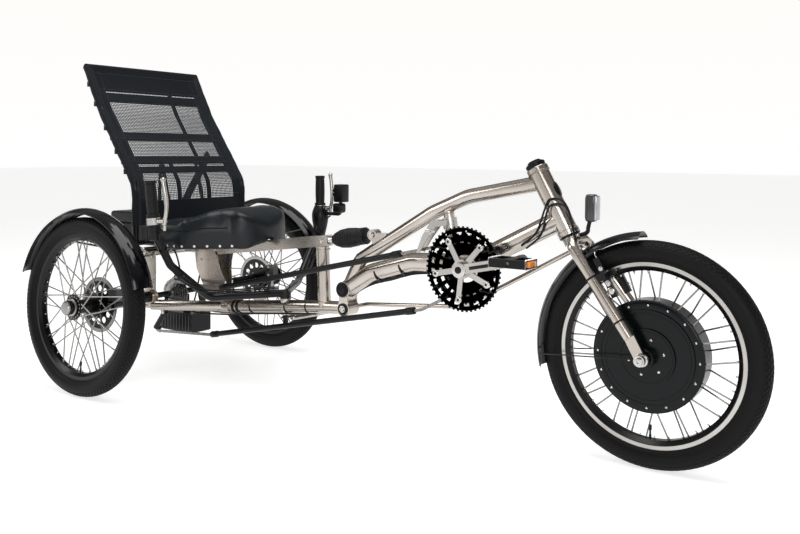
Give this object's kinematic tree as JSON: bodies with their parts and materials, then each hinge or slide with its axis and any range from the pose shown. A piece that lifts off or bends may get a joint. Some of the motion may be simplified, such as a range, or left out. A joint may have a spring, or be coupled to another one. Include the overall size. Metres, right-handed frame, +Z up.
{
  "type": "recumbent trike",
  "caption": "Recumbent delta trike with a steered front hub-motor wheel, two cambered rear wheels, pedals, under-seat handlebar, mesh seat and titanium tube frame.",
  "frame": {"origin": "on the ground, under the centre of the trike's box", "axes": "+X forward, +Y to the rider's left, +Z up"},
  "size_m": [2.0402, 0.8844, 0.97],
  "materials": {
    "titanium": "brushed titanium",
    "black_metal": "semi-gloss black",
    "black_plastic": "satin black",
    "gloss_black": "gloss black",
    "silver": "polished",
    "steel": "satin",
    "tyre_rubber": "matte black",
    "grip_rubber": "matte black",
    "seat_cloth": "blue-black coated cloth",
    "seat_net": "open black mesh",
    "motor_shell": "satin black"
  },
  "bodies": {
    "frame": {"front_frame": "titanium", "rear_frame": "titanium", "pivot_caps": "black_plastic", "suspension_shock": "steel", "shock_boot": "grip_rubber", "rear_axle": "black_metal", "rear_fenders": "gloss_black", "rear_brakes": "black_metal", "seat_frame": "black_metal", "seat_mesh": "seat_net", "seat_cushion": "seat_cloth", "cassette": "steel", "rear_derailleur": "black_metal", "front_derailleur": "black_metal", "chain": "steel", "chain_tubes": "black_plastic", "battery_case": "black_plastic", "motor_controller": "black_plastic", "frame_cables": "grip_rubber"},
    "fork": {"fork": "titanium", "steerer_caps": "black_metal", "front_fender": "gloss_black", "front_brake": "black_metal", "headlight": "black_plastic"},
    "front_wheel": {"front_tyre": "tyre_rubber", "front_rim": "silver", "front_spokes": "steel", "hub_motor": "motor_shell"},
    "right_rear_wheel": {"right_rear_tyre": "tyre_rubber", "right_rear_rim": "black_metal", "right_rear_spokes": "silver", "right_rear_hub": "black_metal"},
    "left_rear_wheel": {"left_rear_tyre": "tyre_rubber", "left_rear_rim": "black_metal", "left_rear_spokes": "silver", "left_rear_hub": "black_metal"},
    "handlebar": {"handlebar": "black_metal", "handlebar_grips": "grip_rubber", "brake_levers": "silver", "handlebar_display": "black_plastic"},
    "steering_rod": {"steering_rod": "titanium"},
    "crankset": {"chainrings": "black_metal", "crank_arms": "silver"},
    "right_pedal": {"right_pedal": "black_plastic"},
    "left_pedal": {"left_pedal": "black_plastic"}
  },
  "joints": [
    {"name": "steering", "type": "hinge", "parent": "frame", "child": "fork", "pos_m": [0.52541, 0, 0.58671], "axis": [-0.4848, 0, 0.8746], "range_deg": [-22, 22]},
    {"name": "front_wheel_spin", "type": "hinge", "parent": "fork", "child": "front_wheel", "pos_m": [0.76559, 0, 0.2545], "axis": [0, 1, 0], "continuous": true},
    {"name": "right_rear_spin", "type": "hinge", "parent": "frame", "child": "right_rear_wheel", "pos_m": [-0.75041, -0.3815, 0.25419], "axis": [0, 0.9986, -0.0523], "continuous": true},
    {"name": "left_rear_spin", "type": "hinge", "parent": "frame", "child": "left_rear_wheel", "pos_m": [-0.75041, 0.3815, 0.25419], "axis": [0, 0.9986, 0.0523], "continuous": true},
    {"name": "handlebar_turn", "type": "hinge", "parent": "frame", "child": "handlebar", "pos_m": [-0.32041, 0, 0.25], "axis": [0, 0, 1], "range_deg": [-22, 22]},
    {"name": "rod_swing", "type": "hinge", "parent": "handlebar", "child": "steering_rod", "pos_m": [-0.33541, 0.052, 0.2025], "axis": [0, -0.028, 0.9996], "range_deg": [-22, 22]},
    {"name": "crank_spin", "type": "hinge", "parent": "frame", "child": "crankset", "pos_m": [0.31759, 0, 0.415], "axis": [0, 1, 0], "continuous": true},
    {"name": "right_pedal_spin", "type": "hinge", "parent": "crankset", "child": "right_pedal", "pos_m": [0.48387, -0.126, 0.45034], "axis": [0, 1, 0], "continuous": true},
    {"name": "left_pedal_spin", "type": "hinge", "parent": "crankset", "child": "left_pedal", "pos_m": [0.1513, 0.126, 0.37966], "axis": [0, 1, 0], "continuous": true}
  ],
  "couplings": [
    {"joint": "handlebar_turn", "follows": "steering", "ratio": 1},
    {"joint": "rod_swing", "follows": "steering", "ratio": -1}
  ]
}
